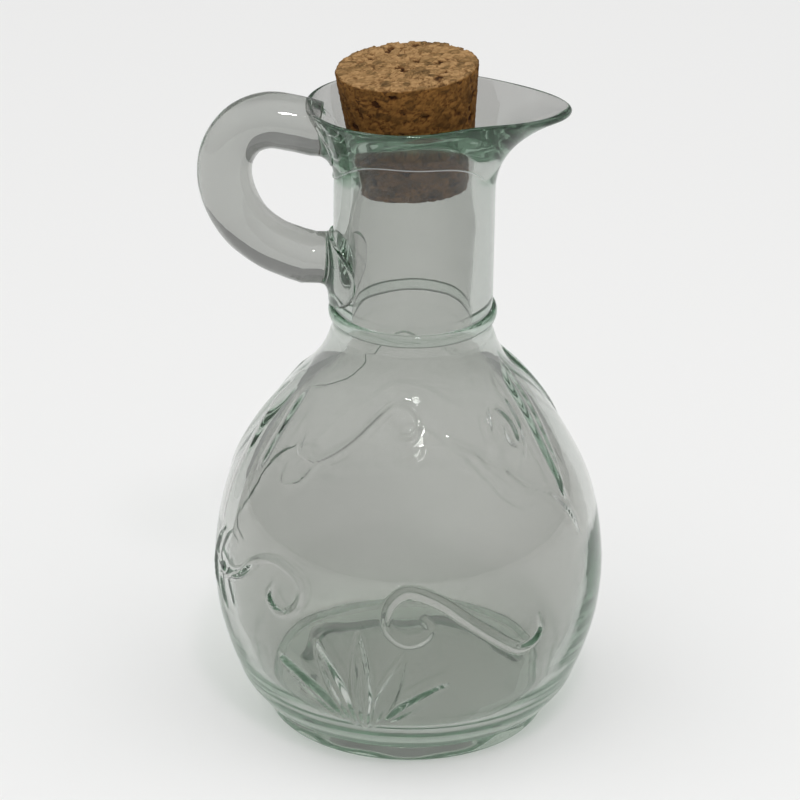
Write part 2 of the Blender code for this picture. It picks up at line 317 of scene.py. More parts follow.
# Conic over three controls: a quadratic curve drawn to its middle control by a weight.
def conicRows(controls, weight, shares):
    share = shares[:, None, None]
    start, knee, end = controls
    pull = 2 * weight * share * (1 - share)
    total = (1 - share) ** 2 + pull + share**2
    return (start * (1 - share) ** 2 + knee * pull + end * share**2) / total


# Outside of the bowl as a curve of radius and height, foot to neck.
def bowlOutline(shape, count):
    span = bellyRadius - shape["neckRadius"]
    rise = shape["bowlHeight"] - shape["footHeight"]
    points = [(shape["neckRadius"] + radius * span, shape["footHeight"] + height * rise)
              for height, radius in shape["bowlShares"]]
    return evenly(curveThrough(points, shape["outlineSteps"]), count)


# Relief strokes: points of azimuth in degrees and height in millimetres, then the half width of the
# ridge and its height at the start and at the end, in millimetres.
scrolls = (
    # S-scroll at the right, from inside its spiral
    (((-85.0, 49.5), (-83.5, 46.5), (-86.5, 43.6), (-91.5, 43.4), (-95.8, 47.5), (-95.3, 53.2),
      (-91, 57.0), (-85.5, 56.4), (-79, 53.3), (-74, 49.6), (-68, 45.2), (-61, 40.2), (-56, 37.4),
      (-51, 37.6), (-48, 40.9), (-49.5, 45.5)), 1.25, 0.7, 1.0),
    # C-scroll at the left
    (((-168, 47.6), (-158, 46.0), (-149, 49.5), (-143.5, 54.5), (-135, 57.9), (-126.5, 56.8),
      (-122.5, 52.5), (-124.5, 47.0), (-130, 45.0), (-134.5, 48.0), (-133, 52.5)), 1.3, 1.0, 1.0),
    # Scroll on the shoulder
    (((-141, 87.5), (-139.5, 84.6), (-135.5, 84.0), (-130, 84.0), (-123, 86.6), (-116, 90.5),
      (-109, 95.0), (-102, 98.3), (-95, 98.9), (-88, 97.4), (-86, 94.6), (-90, 92.4), (-96, 92.6),
      (-99.5, 95.0)), 1.0, 1.0, 1.0),
)
frontStrokes = (
    (((-97, 87.4), (-91, 88.2), (-84, 89.6)), 0.9, 0.7, 0.7),
    # Wave on the right shoulder, running down the flank
    (((-72, 91.8), (-67, 89.6), (-62, 88.2), (-57, 84.6), (-51, 83.0), (-45, 78.6), (-40, 76.2),
      (-33, 73.0), (-28, 67.5), (-25, 60.4)), 1.1, 1.0, 0.6),
    # Loops on the right flank
    (((-50, 90.0), (-47, 94.5), (-41, 95.0), (-37, 91.0), (-39, 86.5), (-43, 88.0), (-42, 91.0)),
     1.0, 0.8, 0.7),
    (((-46, 81.0), (-39, 84.0), (-33, 89.5), (-31, 96.0)), 0.9, 0.5, 0.5),
)
flankStrokes = (
    # Tail of the right flank's leaf
    (((-27, 76.0), (-27.5, 70.0), (-25, 63.0)), 1.4, 0.6, 0.4),
    # Broad swell and stalk on the left flank
    (((-179, 93.0), (-172, 81.0), (-166, 67.0), (-163, 56.0)), 6.0, 0.8, 0.8),
    (((-160, 95.0), (-157, 86.0), (-156, 76.0)), 2.4, 0.4, 0.4),
    # Sprig low on the left flank
    (((-166, 38.0), (-170, 45.0), (-167, 53.0), (-161, 58.0)), 1.5, 0.6, 0.6),
    (((-158, 36.0), (-162, 42.0), (-160, 48.0)), 1.3, 0.5, 0.5),
)
# Leaves: midrib from foot to tip, then the half width, and the height at foot and tip. A long leaf
# lies on the right flank, and a fan of five at the front.
flankLeaves = (
    (((-13, 101.0), (-18, 95.0), (-24, 84.0), (-27, 73.0)), 4.0, 0.9, 0.9),
)
frontLeaves = (
    (((-103, 15.0), (-104, 45.0)), 3.6, 1.5, 0.95),
    (((-106, 16.0), (-117, 40.0)), 3.2, 1.5, 0.95),
    (((-100, 16.0), (-90.5, 38.0)), 3.2, 1.5, 0.95),
    (((-109, 17.0), (-130, 32.0)), 2.9, 1.5, 0.95),
    (((-97, 17.0), (-77, 30.5)), 2.9, 1.5, 0.95),
)
# Height of the back's scrolls as a share of the front's, steps for each point of a stroke and for a
# leaf, and how far round a path, in half widths, the bowl's points are looked at
backHeight = 0.5
pointSteps = 14
leafSteps = 40
nearWidths = 1.5
# Ends of a ridge: their height and width as shares, and the share of the ridge that they take
ridgeEnds = {"height": 0.35, "width": 0.7, "length": 0.12}
# Leaf: where it is widest, how full its sides and its cushion are, and its vein's depth, half width
# and end, with the rest as shares
leafForm = {
    "ends": (0.02, 0.98), "widest": 0.8, "sides": 0.7, "cushion": 1.8, "tip": 0.999,
    "veinDepth": 0.5, "veinWidth": 0.0006, "veinEnd": 0.3,
}


# Points of the belly from azimuths and heights, by the bowl's own outline.
def onBelly(azimuth, height, outline):
    radius = np.interp(height, outline[:, 1], outline[:, 0])
    return np.stack((radius * np.cos(azimuth), radius * np.sin(azimuth), height), axis=-1)


# Distance from each point to the nearest segment of a path, and the share of the path there.
def distanceToPath(points, path):
    start = path[:-1]
    step = path[1:] - start
    offset = points[:, None, :] - start[None]
    share = np.clip((offset * step).sum(-1) / (step * step).sum(-1), 0, 1)
    gap = np.linalg.norm(offset - share[..., None] * step, axis=-1)
    nearest = gap.argmin(axis=1)
    row = np.arange(len(points))
    return gap[row, nearest], (nearest + share[row, nearest]) / len(step)


# Ridge along a stroke, rounded across and lower at its ends.
def ridge(gap, share, halfWidth, size):
    low, narrow = ridgeEnds["height"], ridgeEnds["width"]
    ends = low + (1 - low) * smoothStep(np.minimum(share, 1 - share) / ridgeEnds["length"])
    return size * ends * smoothStep(1 - gap / (halfWidth * (narrow + (1 - narrow) * ends)))


# Leaf: a pillow that is widest past its foot, with a vein sunk along it.
def leaf(gap, share, halfWidth, size):
    form = leafForm
    along = np.clip(share, *form["ends"]) ** form["widest"]
    width = halfWidth * np.sin(math.pi * along) ** form["sides"]
    vein = form["veinDepth"] * smoothStep(1 - gap / form["veinWidth"])
    vein = vein * smoothStep((1 - share) / form["veinEnd"])
    return size * (smoothStep((1 - gap / width) * form["cushion"]) - vein) * (share < form["tip"])


# Strokes and leaves as points, steps, form, half width and the two heights.
def reliefForms(strokes, leaves, share=1):
    forms = [(places, pointSteps * len(places), ridge, wide, high * share, highEnd * share)
             for places, wide, high, highEnd in strokes]
    forms += [(places, leafSteps, leaf, *sizes) for places, *sizes in leaves]
    return forms


# Height of the relief over the bowl. The scrolls, lower, and the flanks come again, mirrored, at the
# back. Where forms meet, the highest wins.
def reliefField(points, outline):
    height = np.zeros(len(points))
    front = reliefForms(scrolls + flankStrokes + frontStrokes, frontLeaves + flankLeaves)
    rear = reliefForms(scrolls, (), backHeight) + reliefForms(flankStrokes, flankLeaves)
    for side, forms in ((1, front), (-1, rear)):
        for places, count, form, wide, high, highEnd in forms:
            path = curveThrough(places, count)
            path = onBelly(np.radians(path[:, 0]) * side, path[:, 1] / 1000, outline)
            reach = nearWidths * wide / 1000
            near = ((points > path.min(0) - reach) & (points < path.max(0) + reach)).all(axis=1)
            gap, share = distanceToPath(points[near], path)
            size = (high + (highEnd - high) * share) / 1000
            height[near] = np.maximum(height[near], form(gap, share, wide / 1000, size))
    return height


# Rings of a curve of radius and height, turned about Z.
def turnedRings(curve, angle):
    return np.repeat(curve[:, :, None], len(angle), axis=2)


# Radius and height at each angle become places.
def standRings(section, angle):
    return np.stack((section[:, 0] * np.cos(angle), section[:, 0] * np.sin(angle), section[:, 1]), axis=-1)


# Angles from -180 to 180 degrees, evenly spaced or drawn closer together about the front.
def aroundAngles(columns, closer=0.0):
    even = (np.arange(columns) / columns * 2 - 1) * math.pi
    return even - closer * np.cos(even)


# Rings inside the bottle: floor, lining, bore and lip.
def insideRings(shape):
    angle = aroundAngles(shape["innerColumns"], shape["closer"])
    lip = lipControls(angle, shape)
    footHeight, bowlHeight = shape["footHeight"], shape["bowlHeight"]
    wallHeights = (footHeight, (footHeight + bowlHeight) / 2, bowlHeight)
    walls = (shape["heelWall"], shape["bellyWall"], shape["neckWall"])
    outline = bowlOutline(shape, shape["liningRows"])
    lining = outline - normalsOf(outline) * np.interp(outline[:, 1], wallHeights, walls)[:, None]
    lining[-1] = (shape["boreRadius"], bowlHeight)
    heel = lining[0]
    floorShare = np.linspace(0, 1, shape["floorRows"])[1:-1]
    floorRise = (heel[1] - shape["floorThickness"]) * floorShare ** shape["floorCurve"]
    floor = np.stack((heel[0] * floorShare, shape["floorThickness"] + floorRise), axis=1)
    overBowl, underThroat = shape["boreMargins"]
    bore = np.array(((shape["boreRadius"], bowlHeight + overBowl),
                     (shape["boreRadius"], shape["throatHeight"] - underThroat)))
    mouth = conicRows(lip["inner"], lip["weight"], np.linspace(0, 1, shape["innerLipRows"]))
    section = np.concatenate((turnedRings(np.vstack((floor, lining, bore)), angle), mouth))
    wave = handWaves(angle, section[:, 1], shape["waves"])
    fade = shape["waveFade"]
    wave = wave * smoothStep((section[:, 1] - fade["low"]) / fade["over"])
    section[:, 0] += wave * smoothStep((fade["high"] - section[:, 1]) / fade["over"])
    return standRings(section, angle)


# Moves of the bowl's points along its normal: in by the sink, and out again by the relief.
def reliefMoves(bowl, outline, angle, shape):
    normal = normalsOf(outline)[::-1]
    push = np.stack((normal[:, :1] * np.cos(angle), normal[:, :1] * np.sin(angle),
                     np.repeat(normal[:, 1:], len(angle), axis=1)), axis=-1)
    high = bowl[..., 2]
    ends = shape["reliefFade"]
    fade = smoothStep((high - ends["low"]) / ends["lowOver"])
    fade = fade * smoothStep((ends["high"] - high) / ends["highOver"])
    lift = reliefField(bowl.reshape(-1, 3), outline).reshape(high.shape)
    return push * ((lift - shape["sink"]) * fade)[..., None]


# Rings outside the bottle, top to bottom: the lip's edge and outside, the neck with its mould line, the
# bowl with its relief, and the foot. With them comes the share of the painted highlight along the mould
# line.
def outsideRings(shape):
    angle = aroundAngles(shape["outerColumns"], shape["closer"])
    lip = lipControls(angle, shape)
    turn = np.linspace(0, math.pi, shape["rimRows"] + 2)[1:-1, None, None]
    rim = lip["middle"] + (lip["inward"] * np.cos(turn) + lip["along"] * np.sin(turn)) * lip["edge"] / 2
    flare = conicRows(lip["outer"], 1, np.linspace(1, 0, shape["lipRows"]))
    bowlTop = np.full_like(angle, shape["bowlHeight"])
    neckFoot = np.stack((np.full_like(angle, shape["neckRadius"]), bowlTop))
    share = np.array(shape["neckShares"])[:, None, None]
    neck = lip["outer"][0] * (1 - share) + neckFoot * share
    seam = shape["seam"]
    seamShare = smoothStep((seam["ends"] - np.cos(angle)) / seam["fade"])
    neck[seam["row"], 0] += seam["rise"] * seamShare
    outline = bowlOutline(shape, shape["bowlRows"])
    footRadius, footHeight = shape["footRadius"], shape["footHeight"]
    foot = [(footRadius * radius, footHeight * height) for height, radius in shape["footShares"]]
    foot = curveThrough(foot, shape["footRows"])
    rows = (rim, flare, neck, turnedRings(outline[::-1], angle), turnedRings(foot, angle))
    outside = standRings(np.concatenate(rows), angle)
    first = len(rim) + len(flare) + len(neck)
    bowl = slice(first, first + len(outline))
    outside[bowl] += reliefMoves(outside[bowl], outline, angle, shape)
    seamHighlight = np.zeros(outside.shape[:2])
    seamHighlight[len(rim) + len(flare) + seam["row"]] = seamShare
    return outside, seamHighlight


# Rings of the hollow under the foot, wandering a little, and the fewer ones of its flat middle.
def puntRings(shape):
    punt = shape["punt"]
    angle = aroundAngles(shape["outerColumns"], shape["closer"])
    wander = 1 + handWaves(angle, 0, shape["puntWaves"])
    rows = []
    for out, depth in shape["puntShares"]:
        radius = (punt["radius"] + punt["ring"] * out) * wander
        rows.append(np.stack((radius, np.full_like(angle, punt["depth"] * depth))))
    few = aroundAngles(shape["innerColumns"], shape["closer"])
    centre = turnedRings(np.array([(radius, punt["depth"]) for radius in punt["centre"]]), few)
    return standRings(np.stack(rows), angle), standRings(centre, few)


# The bottle in one skin, coarse inside and fine outside, marked on its outside, where other glass is fused
# on, where painted shade darkens it, and where its mould line runs with a painted highlight.
def makeBottle(shape):
    outside, seamHighlight = outsideRings(shape)
    floorPoint = np.array([[[0, 0, shape["floorThickness"]]]])
    puntPoint = np.array([[[0, 0, shape["punt"]["depth"]]]])
    blocks = (floorPoint, insideRings(shape), outside, *puntRings(shape), puntPoint)
    made = skinBlocks("bottle", blocks)
    # Painted shade: at the lip, and at the neck's sides as they turn away from the eye
    paintedLipShade, edge = shape["lipShadeRise"], shape["edgeShadeRise"]
    marks = {
        "joined": [np.full(block.shape[:2], block is outside) for block in blocks],
        "paintedLipShade": [smoothStep((block[..., 2] - paintedLipShade["from"]) / paintedLipShade["over"]) for block in blocks],
        "paintedEdgeShade": [edge["share"] * smoothStep((block[..., 2] - edge["from"]) / edge["over"])
                     for block in blocks],
        "seam": [seamHighlight if block is outside else np.zeros(block.shape[:2]) for block in blocks],
    }
    for name, values in marks.items():
        markPoints(made, name, values)
    return made


bottle = makeBottle(bottleShape)


# Collar: a ring of glass with a flat inside and a rounded outside, laid on by hand
collarShape = {
    "gap": 0.00008,
    "columns": 360,
    "rows": 26,
    "innerRows": 4,
    "sag": 0.00015,
    "sagStart": 0.7,
    "thin": 0.04,
    "lobes": 3,
    "lobeStart": 0.4,
    "round": 0.9,
}
collarMiddle = (collarHigh.z + collarLow.z) / 2
collarHalf = (collarHigh.z - collarLow.z) / 2 - collarShape["sag"]


def makeCollar(shape):
    angle = aroundAngles(shape["columns"])
    turn = np.linspace(-math.pi / 2, math.pi / 2, shape["rows"])[:, None]
    inside = bottleShape["neckRadius"] + shape["gap"]
    lobes = np.sin(shape["lobes"] * angle + shape["lobeStart"])
    depth = (collarHigh.y - inside) * (1 - shape["thin"] + shape["thin"] * lobes)
    middle = collarMiddle + shape["sag"] * np.sin(angle + shape["sagStart"])
    stand = depth * np.cos(turn) ** shape["round"]
    outer = np.stack((inside + stand, middle + collarHalf * np.sin(turn)), axis=1)
    across = np.linspace(1, -1, shape["innerRows"] + 2)[1:-1, None]
    inner = np.stack((np.full_like(across * angle, inside), middle + collarHalf * across), axis=1)
    made = skinBlocks("collar", (standRings(np.concatenate((outer, inner)), angle),), loop=True)
    flat = np.ones((len(outer) + len(inner), shape["columns"]))
    flat[1:len(outer) - 1] = 0
    markPoints(made, "joined", [flat])
    return made


collar = makeCollar(collarShape)


# Handle: a round rod swept along its middle line, both ends spread on to the neck. An end has its
# middle and half sizes along Y and Z, its squareness, its pad's thickness and how late it flares.
handleShape = {
    "radius": 0.00702,
    "sides": 96,
    "gap": 0.00008,
    "rows": 150,
    "pathSteps": 600,
    "wideWaves": ((0.018, 5, 0, 0.5), (0.012, 13, 0, 0)),
    "flatWaves": ((0.03, 7, 0, 1),),
    "path": (
        (-0.0250, 0.1632), (-0.0310, 0.1646), (-0.0375, 0.1653), (-0.0435, 0.1629), (-0.0476, 0.1572),
        (-0.0486, 0.1505), (-0.0470, 0.1435), (-0.0431, 0.1368), (-0.0371, 0.1318), (-0.0310, 0.1291),
        (-0.0270, 0.1278),
    ),
    "top": {
        "centre": (0.0, 0.1613), "half": (0.0086, 0.0076), "square": 2.0, "pad": 0.0003, "flare": 3.0,
    },
    "low": {
        "centre": (-0.0004, 0.1255), "half": (0.0143, 0.0092), "square": 2.6, "pad": 0.0011, "flare": 7.0,
    },
    # Share of an end's spread that its round edge takes, and how its rows crowd and come down
    "edgeShare": 0.07,
    "rowPower": 0.8,
    "standPower": 1.5,
    "endRows": 30,
    "edgeRows": 7,
    "capRings": 4,
}

# How a depth on the neck is found: the rounds it takes to settle, the least bend, in metres, that
# counts as one, and the least square of a depth
neckSolving = {"rounds": 12, "leastBend": 1e-7, "leastSquare": 1e-8}


# Outer radius of the neck and lip at an angle and a height, solved from the lip's curve.
def neckReach(angle, height, shape):
    lip = lipControls(angle, shape)
    start, knee, end = (control[1] for control in lip["outer"])
    bend = start - 2 * knee + end
    slope = 2 * (knee - start)
    straight = np.abs(bend) < neckSolving["leastBend"]
    root = np.sqrt(np.maximum(slope**2 - 4 * bend * (start - height), 0))
    bent = (root - slope) / (2 * np.where(straight, 1, bend))
    share = np.where(straight, (height - start) / slope, bent)
    share = np.clip(share, 0, 1)
    parts = ((1 - share) ** 2, 2 * share * (1 - share), share**2)
    reach = sum(control[0] * part for control, part in zip(lip["outer"], parts))
    over = smoothStep((height - end) / (lip["edge"] * shape["rimFade"]))
    return reach + (lip["middle"][0] + lip["edge"] / 2 - reach) * over


# Depth of the neck's outside under each sideways place and height, on the handle's side.
def ontoNeck(sideways, height, gap):
    depth = np.full_like(sideways, -bottleShape["neckRadius"])
    for _ in range(neckSolving["rounds"]):
        angle = np.arctan2(sideways, depth)
        reach = neckReach(angle, height, bottleShape) + gap
        depth = -np.sqrt(np.maximum(reach**2 - sideways**2, neckSolving["leastSquare"]))
    return depth


# End of the handle: rings run from the rod's last ring down to the neck and spread to an oval pad
# with a round edge, then shrink to a point over the neck's surface.
def spreadEnd(ring, end, turn, flip, shape):
    gap, edgeShare = shape["gap"], shape["edgeShare"]
    across, upward = end["half"]
    power = end["square"]
    oval = (np.abs(np.cos(turn)) ** power + np.abs(np.sin(turn)) ** power) ** (-1 / power)
    footY = end["centre"][0] + across * oval * np.cos(turn)
    footZ = end["centre"][1] + upward * oval * np.sin(turn) * flip
    stand = ontoNeck(ring[:, 1], ring[:, 2], gap) - ring[:, 0]
    share = np.linspace(0, 1, shape["endRows"])[1:, None] ** shape["rowPower"]
    spread = (1 - edgeShare) * share ** end["flare"]
    away = end["pad"] + (stand - end["pad"]) * (1 - share) ** shape["standPower"]
    turned = np.linspace(0, math.pi / 2, shape["edgeRows"])[1:, None]
    spread = np.vstack((spread, 1 - edgeShare + edgeShare * np.sin(turned)))
    away = np.vstack((away, end["pad"] * np.cos(turned) * np.ones_like(turn)))
    cap = np.linspace(1, 0, shape["capRings"] + 2)[1:-1, None]
    middleY, middleZ = end["centre"]
    y = np.vstack((ring[:, 1] + (footY - ring[:, 1]) * spread, middleY + (footY - middleY) * cap))
    z = np.vstack((ring[:, 2] + (footZ - ring[:, 2]) * spread, middleZ + (footZ - middleZ) * cap))
    away = np.vstack((away, np.zeros((len(cap), len(turn)))))
    rings = np.stack((ontoNeck(y, z, gap) - away, y, z), axis=-1)
    middle = [np.array([[value]]) for value in end["centre"]]
    point = np.stack((ontoNeck(*middle, gap), *middle), axis=-1)
    return rings, point


def makeHandle(shape):
    path = evenly(curveThrough(shape["path"], shape["pathSteps"]), shape["rows"])
    normal = normalsOf(path)
    turn = aroundAngles(shape["sides"])
    place = np.linspace(0, 1, shape["rows"])[:, None]
    wide = shape["radius"] * (1 + handWaves(place, 0, shape["wideWaves"]))
    flat = wide * (1 + handWaves(place, 0, shape["flatWaves"]))
    body = np.stack((path[:, :1] + normal[:, :1] * wide * np.sin(turn), flat * np.cos(turn),
                     path[:, 1:] + normal[:, 1:] * wide * np.sin(turn)), axis=-1)
    top, topPoint = spreadEnd(body[0], shape["top"], turn, np.sign(normal[0, 1]), shape)
    low, lowPoint = spreadEnd(body[-1], shape["low"], turn, np.sign(normal[-1, 1]), shape)
    rings = np.concatenate((top[::-1], body, low))
    made = skinBlocks("handleLoop", (topPoint, rings, lowPoint))
    flat = np.zeros(rings.shape[:2])
    flat[:shape["capRings"] + 1] = 1
    flat[-shape["capRings"] - 1:] = 1
    markPoints(made, "joined", [np.ones((1, 1)), flat, np.ones((1, 1))])
    return made


handle = makeHandle(handleShape)


# Cork: tapered, of pressed granules, paler on top, with painted shade that darkens and browns its side and
# bottom as though lit from above.
# A granule's own draw, from 0 to 1, says whether it is pitted, crumbled or finely grooved. A pair
# is where such a thing starts and over how much it grows. The crack is how nearly two granules tie
# at a groove's sides, and the crumble is how far it reaches in from the top's edge.
corkShape = {
    "topRadius": 0.01835,
    "bottomRadius": 0.01472,
    "height": 0.0313,
    "seatRise": 0.0011,
    "edge": 0.0005,
    "columns": 300,
    "discRows": 43,
    "wallRows": 90,
    "granule": 0.0021,
    "stretch": (1, 1, 1.5),
    "fineShare": 2.4,
    "fineShift": 0.1,
    "fineTone": 0.3,
    "crack": 0.12,
    "crumble": 0.0022,
    "grooved": 0.35,
    "pitted": (0.93, 0.02),
    "crumbled": (0.55, 0.15),
    "broken": (0.1, 0.5),
    "fineCrack": 0.2,
    "depths": {
        "groove": 0.00026, "fineGroove": 0.00005, "pit": 0.0006, "fine": 0.00018, "crumble": 0.0006,
    },
    "seed": 7,
    "draws": 4096,
}
cellFactors = (73, 179, 283)


# Four even draws for each cell of a grid, looked up from one table so that a cell always gets the same.
def cellDraws(cells, table):
    mixed = cells * cellFactors
    return table[(mixed[:, 0] ^ mixed[:, 1] ^ mixed[:, 2]) % len(table)]


# Granules: a point belongs to the nearest of the seeds, one to a cell. Returns the seed's own draw
# and how nearly a second seed ties, which marks the crack between two granules.
def granuleField(points, size, table):
    place = points / size
    cell = np.floor(place).astype(int)
    nearest = np.full(len(points), 9.0)
    second = nearest.copy()
    own = np.zeros(len(points))
    steps = np.stack(np.meshgrid(*[(-1, 0, 1)] * 3), axis=-1).reshape(-1, 3)
    for step in steps:
        draws = cellDraws(cell + step, table)
        gap = np.linalg.norm(cell + step + draws[:, :3] - place, axis=1)
        closer = gap < nearest
        second = np.where(closer, nearest, np.minimum(second, gap))
        own = np.where(closer, draws[:, 3], own)
        nearest = np.where(closer, gap, nearest)
    return own, second - nearest


# Growth from 0 to 1 of what starts at one draw and is full over some more.
def growth(draw, limits):
    start, over = limits
    return smoothStep((draw - start) / over)


# Sinks of the cork's points from its grooves, pits and crumbled rim, with the tone of their granules
# and how deep they lie in a crack.
def corkGrain(points, top, shape):
    table = np.random.default_rng(shape["seed"]).random((shape["draws"], 4))
    stretched = points * shape["stretch"]
    shifted = stretched + shape["fineShift"]
    own, tie = granuleField(stretched, shape["granule"], table)
    fineOwn, fineTie = granuleField(shifted, shape["granule"] / shape["fineShare"], table)
    groove = smoothStep(1 - tie / shape["crack"])
    fineGroove = smoothStep(1 - fineTie / shape["crack"]) * (own > shape["grooved"])
    pit = growth(own, shape["pitted"])
    rim = np.abs(points[:, 2] - top) + np.abs(np.hypot(points[:, 0], points[:, 1]) - shape["topRadius"])
    crumbled = smoothStep(1 - rim / shape["crumble"]) * growth(own, shape["crumbled"])
    depths = shape["depths"]
    sink = depths["groove"] * groove + depths["fineGroove"] * fineGroove + depths["pit"] * pit
    sink = sink + depths["fine"] * fineOwn + depths["crumble"] * crumbled
    tone = own * (1 - shape["fineTone"]) + fineOwn * shape["fineTone"]
    fine = shape["fineCrack"]
    cracks = (1 - fine) * groove * growth(fineOwn, shape["broken"]) + fine * fineGroove + pit
    return sink, tone, np.clip(cracks, 0, 1)


def makeCork(shape):
    angle = aroundAngles(shape["columns"])
    bottom = shape["seatRise"]
    top = bottom + shape["height"]
    edge = shape["edge"]
    disc = np.linspace(0, 1, shape["discRows"] + 1)[1:]
    upper = np.stack(((shape["topRadius"] - edge) * disc, np.full(len(disc), top)), axis=1)
    wall = np.linspace(0, 1, shape["wallRows"])[:, None]
    side = (1 - wall) * (shape["topRadius"], top - edge) + wall * (shape["bottomRadius"], bottom + edge)
    lower = np.stack(((shape["bottomRadius"] - edge) * disc[::-1], np.full(len(disc), bottom)), axis=1)
    curve = np.concatenate((upper, side, lower))
    points = standRings(turnedRings(curve, angle), angle).reshape(-1, 3)
    inward = standRings(turnedRings(normalsOf(curve), angle), angle).reshape(-1, 3)
    sink, tone, cracks = corkGrain(points, top, shape)
    points = points + inward * sink[:, None]
    lean = np.array(Vector((0, 0, 1)).rotation_difference(corkAxis).to_matrix())
    seat = (0, 0, bottleShape["throatHeight"])
    points = points @ lean.T + seat
    ends = [lean @ (0, 0, height) + seat for height in (top, bottom)]
    blocks = (ends[0].reshape(1, 1, 3), points.reshape(len(curve), -1, 3), ends[1].reshape(1, 1, 3))
    made = skinBlocks("cork", blocks)
    # Painted shade: the side and bottom are marked, to be darkened as though lit from above
    sideShade = np.repeat(np.concatenate((np.zeros(len(upper)), np.ones(len(side) + len(lower)))), len(angle))
    marks = {"granuleTone": tone, "granuleGap": cracks, "paintedSideShade": sideShade}
    for name, values in marks.items():
        markPoints(made, name, ([values[0]], values, [values[-1]]))
    return made


cork = makeCork(corkShape)


# Materials
def newMaterial(name):
    made = bpy.data.materials.new(name)
    made.use_nodes = True
    return made, made.node_tree.nodes, made.node_tree.links


# Math node over sockets and plain numbers.
def mathNode(nodes, links, operation, *values):
    made = nodes.new("ShaderNodeMath")
    made.operation = operation
    for socket, value in zip(made.inputs, values):
        if isinstance(value, (int, float)):
            socket.default_value = value
        else:
            links.new(value, socket)
    return made.outputs["Value"]


# What the points of a piece carry under a name.
def pointValue(nodes, name):
    made = nodes.new("ShaderNodeAttribute")
    made.attribute_name = name
    return made.outputs["Fac"]


# Mix of two colours, each a socket or a plain colour.
def mixColours(nodes, links, share, first, second, blend="MIX"):
    made = nodes.new("ShaderNodeMix")
    made.data_type = "RGBA"
    made.blend_type = blend
    links.new(share, made.inputs["Factor"])
    for socket, colour in ((made.inputs["A"], first), (made.inputs["B"], second)):
        if isinstance(colour, tuple):
            socket.default_value = (*colour, 1)
        else:
            links.new(colour, socket)
    return made.outputs["Result"]


def mixShaders(nodes, links, share, first, second):
    made = nodes.new("ShaderNodeMixShader")
    for socket, source in zip(made.inputs, (share, first, second)):
        links.new(source, socket)
    return made.outputs["Shader"]


def clearPane(nodes, colour=(1, 1, 1)):
    made = nodes.new("ShaderNodeBsdfTransparent")
    made.inputs["Color"].default_value = (*colour, 1)
    return made.outputs["BSDF"]


# Colour ramp through stops of place and colour.
def rampNode(nodes, links, share, stops):
    made = nodes.new("ShaderNodeValToRGB")
    first, last = made.color_ramp.elements
    first.position, last.position = stops[0][0], stops[-1][0]
    first.color, last.color = (*stops[0][1], 1), (*stops[-1][1], 1)
    for place, colour in stops[1:-1]:
        stop = made.color_ramp.elements.new(place)
        stop.color = (*colour, 1)
    links.new(share, made.inputs["Fac"])
    return made.outputs["Color"]


# Slight waviness of fire-polished glass, too fine for the meshes.
def wavesGroup(settings):
    group = bpy.data.node_groups.new("blownWaves", "ShaderNodeTree")
    group.interface.new_socket("Strength", in_out="INPUT", socket_type="NodeSocketFloat")
    group.interface.new_socket("Normal", in_out="OUTPUT", socket_type="NodeSocketVector")
    nodes, links = group.nodes, group.links
    given = nodes.new("NodeGroupInput")
    place = nodes.new("ShaderNodeTexCoord")
    noise = nodes.new("ShaderNodeTexNoise")
    noise.inputs["Scale"].default_value = settings["scale"]
    noise.inputs["Detail"].default_value = settings["detail"]
    bump = nodes.new("ShaderNodeBump")
    bump.inputs["Distance"].default_value = settings["depth"]
    links.new(place.outputs["Object"], noise.inputs["Vector"])
    links.new(noise.outputs["Fac"], bump.inputs["Height"])
    links.new(given.outputs["Strength"], bump.inputs["Strength"])
    links.new(bump.outputs["Normal"], nodes.new("NodeGroupOutput").inputs["Normal"])
    return group


# Mask of the places on the neck, as centres and half sizes along Y and Z, where another piece of
# glass is fused on. An oval on the handle's side, or a band all round where the half width is 0.
def joinedMask(nodes, links, places):
    where = nodes.new("ShaderNodeTexCoord")
    parts = nodes.new("ShaderNodeSeparateXYZ")
    links.new(where.outputs["Object"], parts.inputs["Vector"])
    x, y, z = parts.outputs
    total = 0
    for centre, half in places:
        above = mathNode(nodes, links, "SUBTRACT", z, centre[1])
        up = mathNode(nodes, links, "DIVIDE", above, half[1])
        away = mathNode(nodes, links, "MULTIPLY", up, up)
        side = 1
        if half[0]:
            beside = mathNode(nodes, links, "SUBTRACT", y, centre[0])
            across = mathNode(nodes, links, "DIVIDE", beside, half[0])
            away = mathNode(nodes, links, "MULTIPLY_ADD", across, across, away)
            side = mathNode(nodes, links, "LESS_THAN", x, 0)
        found = mathNode(nodes, links, "MULTIPLY", mathNode(nodes, links, "LESS_THAN", away, 1), side)
        total = mathNode(nodes, links, "MAXIMUM", total, found)
    return total


glassSurface = {"roughness": 0.015, "ior": 1.52}
blownWaves = wavesGroup({"scale": 110, "detail": 2, "depth": 0.0004})
bodyGreen = (0.41, 0.614, 0.48)
bottleFinish = {
    "stain": (0.695, 0.692, 0.676),
    # Darker stain, painted shade at the lip and at the neck's sides
    "paintedShadeColour": (0.53, 0.527, 0.515),
    "body": bodyGreen,
    "density": 22,
    "pane": (0.90, 0.91, 0.90),
    "wave": 0.10,
    # Share of the painted highlight, a white diffuse band, along the mould line
    "seamHighlightShare": 0.5,
    "joinedPlaces": (
        ((0.0, collarMiddle), (0.0, collarHalf)),
        (handleShape["top"]["centre"], handleShape["top"]["half"]),
        (handleShape["low"]["centre"], handleShape["low"]["half"]),
    ),
}
handleFinish = {
    "stain": (0.53, 0.52, 0.508),
    "body": bodyGreen,
    "density": 14,
    "pane": (0.85, 0.86, 0.85),
    "wave": 0.30,
}
collarFinish = {
    "stain": (0.95, 0.95, 0.94),
    "body": (0.30, 0.45, 0.35),
    "density": 340,
    "pane": (0.9, 0.92, 0.9),
    "wave": 0.10,
}
